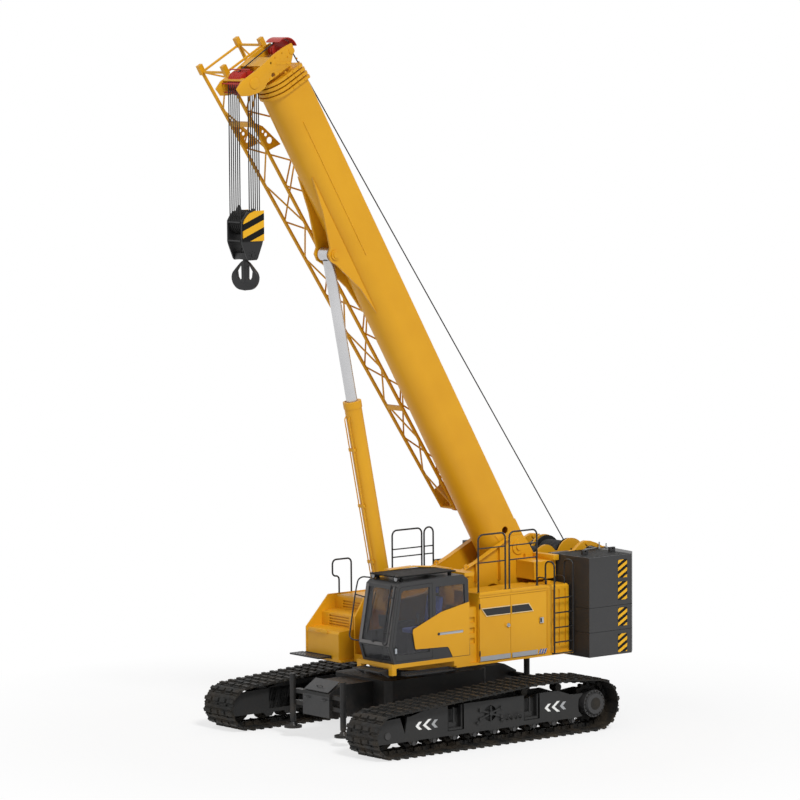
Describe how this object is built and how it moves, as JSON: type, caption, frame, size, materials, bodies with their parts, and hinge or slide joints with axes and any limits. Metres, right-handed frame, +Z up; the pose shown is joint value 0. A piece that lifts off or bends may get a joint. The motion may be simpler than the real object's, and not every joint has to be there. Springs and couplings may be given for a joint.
{
  "type": "crawler crane",
  "caption": "Telescopic-boom crawler crane with extendable tracks, boom raised, lattice jib stowed at its side, hook block hung from the nose",
  "frame": {"origin": "on the ground under the slewing axis", "axes": "+X forward, +Y to the machine's left (cab side), +Z up"},
  "size_m": [8.5944, 5.3, 13.2255],
  "materials": {
    "shell_grey": "satin charcoal paint",
    "machine_yellow": "satin warm yellow paint",
    "chassis_grey": "satin black chassis paint",
    "trim_black": "satin black paint",
    "track_steel": "worn dark steel",
    "rod_chrome": "bright hard chrome",
    "window_glass": "tinted clear glass",
    "seat_blue": "blue woven fabric",
    "sheave_red": "red paint",
    "wire_rope": "greased steel wire",
    "plain_plastic": "matte black plastic"
  },
  "bodies": {
    "chassis": {"carbody": "chassis_grey", "slew_ring": "track_steel", "jack_sleeves": "chassis_grey"},
    "crawler_left": {"track_frame_left": "chassis_grey", "track_loop_left": "track_steel", "track_wheels_left": "track_steel"},
    "crawler_right": {"track_frame_right": "chassis_grey", "track_loop_right": "track_steel", "track_wheels_right": "track_steel"},
    "jack_fl": {"jack_rod_front_left": "rod_chrome"},
    "jack_fr": {"jack_rod_front_right": "rod_chrome"},
    "jack_rl": {"jack_rod_rear_left": "rod_chrome"},
    "jack_rr": {"jack_rod_rear_right": "rod_chrome"},
    "upperstructure": {"turntable_frame": "machine_yellow", "deck_frame": "machine_yellow", "cab_shell": "shell_grey", "cab_door": "shell_grey", "cab_glass": "window_glass", "cab_side_panel": "machine_yellow", "operator_seat": "seat_blue", "cab_console": "plain_plastic", "cab_roof_guard": "trim_black", "left_house": "machine_yellow", "fuel_tank": "machine_yellow", "right_hood": "machine_yellow", "exhaust_box": "trim_black", "engine_block": "track_steel", "handrails": "trim_black", "access_steps": "trim_black", "counterweight": "shell_grey"},
    "door_front": {"house_door_front": "machine_yellow"},
    "door_rear": {"house_door_rear": "machine_yellow"},
    "winch_aux": {"aux_winch_drum": "track_steel"},
    "winch_main": {"main_winch_drum": "track_steel"},
    "boom": {"boom_base": "machine_yellow", "lattice_jib": "machine_yellow"},
    "section_2": {"boom_section_2": "machine_yellow"},
    "section_3": {"boom_section_3": "machine_yellow"},
    "section_4": {"boom_section_4": "machine_yellow"},
    "section_5": {"boom_section_5": "machine_yellow", "boom_head": "machine_yellow", "head_sheaves": "sheave_red"},
    "tackle": {"hoist_falls": "wire_rope"},
    "block": {"hook_block": "trim_black", "block_sheaves": "track_steel"},
    "load_hook": {"hook": "track_steel"},
    "cylinder_rod": {"lift_rod": "rod_chrome"},
    "cylinder_barrel": {"lift_barrel": "machine_yellow"}
  },
  "joints": [
    {"name": "crawler_retract_left", "type": "slide", "parent": "chassis", "child": "crawler_left", "axis": [0, 1, 0], "range_m": [-0.79, 0]},
    {"name": "crawler_retract_right", "type": "slide", "parent": "chassis", "child": "crawler_right", "axis": [0, -1, 0], "range_m": [-0.79, 0]},
    {"name": "jack_front_left", "type": "slide", "parent": "chassis", "child": "jack_fl", "axis": [0, 0, 1], "range_m": [-0.165, 0]},
    {"name": "jack_front_right", "type": "slide", "parent": "chassis", "child": "jack_fr", "axis": [0, 0, 1], "range_m": [-0.165, 0]},
    {"name": "jack_rear_left", "type": "slide", "parent": "chassis", "child": "jack_rl", "axis": [0, 0, 1], "range_m": [-0.165, 0]},
    {"name": "jack_rear_right", "type": "slide", "parent": "chassis", "child": "jack_rr", "axis": [0, 0, 1], "range_m": [-0.165, 0]},
    {"name": "slew", "type": "hinge", "parent": "chassis", "child": "upperstructure", "pos_m": [0, 0, 1.2], "axis": [0, 0, 1], "continuous": true},
    {"name": "house_door_front_swing", "type": "hinge", "parent": "upperstructure", "child": "door_front", "pos_m": [-0.47, 1.502, 2], "axis": [0, 0, -1], "range_deg": [0, 105]},
    {"name": "house_door_rear_swing", "type": "hinge", "parent": "upperstructure", "child": "door_rear", "pos_m": [-1.244, 1.502, 2], "axis": [0, 0, -1], "range_deg": [0, 105]},
    {"name": "aux_winch_turn", "type": "hinge", "parent": "upperstructure", "child": "winch_aux", "pos_m": [-3.06, 0, 3.04], "axis": [0, 1, 0], "continuous": true},
    {"name": "main_winch_turn", "type": "hinge", "parent": "upperstructure", "child": "winch_main", "pos_m": [-3.71, 0, 3.06], "axis": [0, 1, 0], "continuous": true},
    {"name": "boom_luff", "type": "hinge", "parent": "upperstructure", "child": "boom", "pos_m": [-2.35, 0, 3.35], "axis": [0, -1, 0], "range_deg": [-61, 20]},
    {"name": "boom_section_2_slide", "type": "slide", "parent": "boom", "child": "section_2", "axis": [0.5, 0, 0.866], "range_m": [0, 8.6]},
    {"name": "boom_section_3_slide", "type": "slide", "parent": "section_2", "child": "section_3", "axis": [0.5, 0, 0.866], "range_m": [0, 8.6]},
    {"name": "boom_section_4_slide", "type": "slide", "parent": "section_3", "child": "section_4", "axis": [0.5, 0, 0.866], "range_m": [0, 8.6]},
    {"name": "boom_section_5_slide", "type": "slide", "parent": "section_4", "child": "section_5", "axis": [0.5, 0, 0.866], "range_m": [0, 8.6]},
    {"name": "tackle_swing", "type": "hinge", "parent": "section_5", "child": "tackle", "pos_m": [3.85112, 0, 12.39066], "axis": [0, -1, 0], "range_deg": [-20, 61]},
    {"name": "hoist", "type": "slide", "parent": "tackle", "child": "block", "axis": [0, 0, 1], "range_m": [-8.4, 1.55], "deforming": ["hoist_falls"]},
    {"name": "hook_swivel", "type": "hinge", "parent": "block", "child": "load_hook", "pos_m": [3.85112, 0, 9.2], "axis": [0, 0, 1], "continuous": true},
    {"name": "lift_rod_swing", "type": "hinge", "parent": "boom", "child": "cylinder_rod", "pos_m": [1.93282, 0, 9.16806], "axis": [0, -1, 0], "range_deg": [-7.4, 2.5]},
    {"name": "lift_barrel_slide", "type": "slide", "parent": "cylinder_rod", "child": "cylinder_barrel", "axis": [0.1946, 0, 0.9809], "range_m": [-0.87, 2.64]}
  ],
  "couplings": [
    {"joint": "tackle_swing", "follows": "boom_luff", "ratio": -1},
    {"joint": "lift_rod_swing", "follows": "boom_luff", "ratio": 0.12},
    {"joint": "lift_barrel_slide", "follows": "boom_luff", "m_per_rad": -2.47}
  ]
}
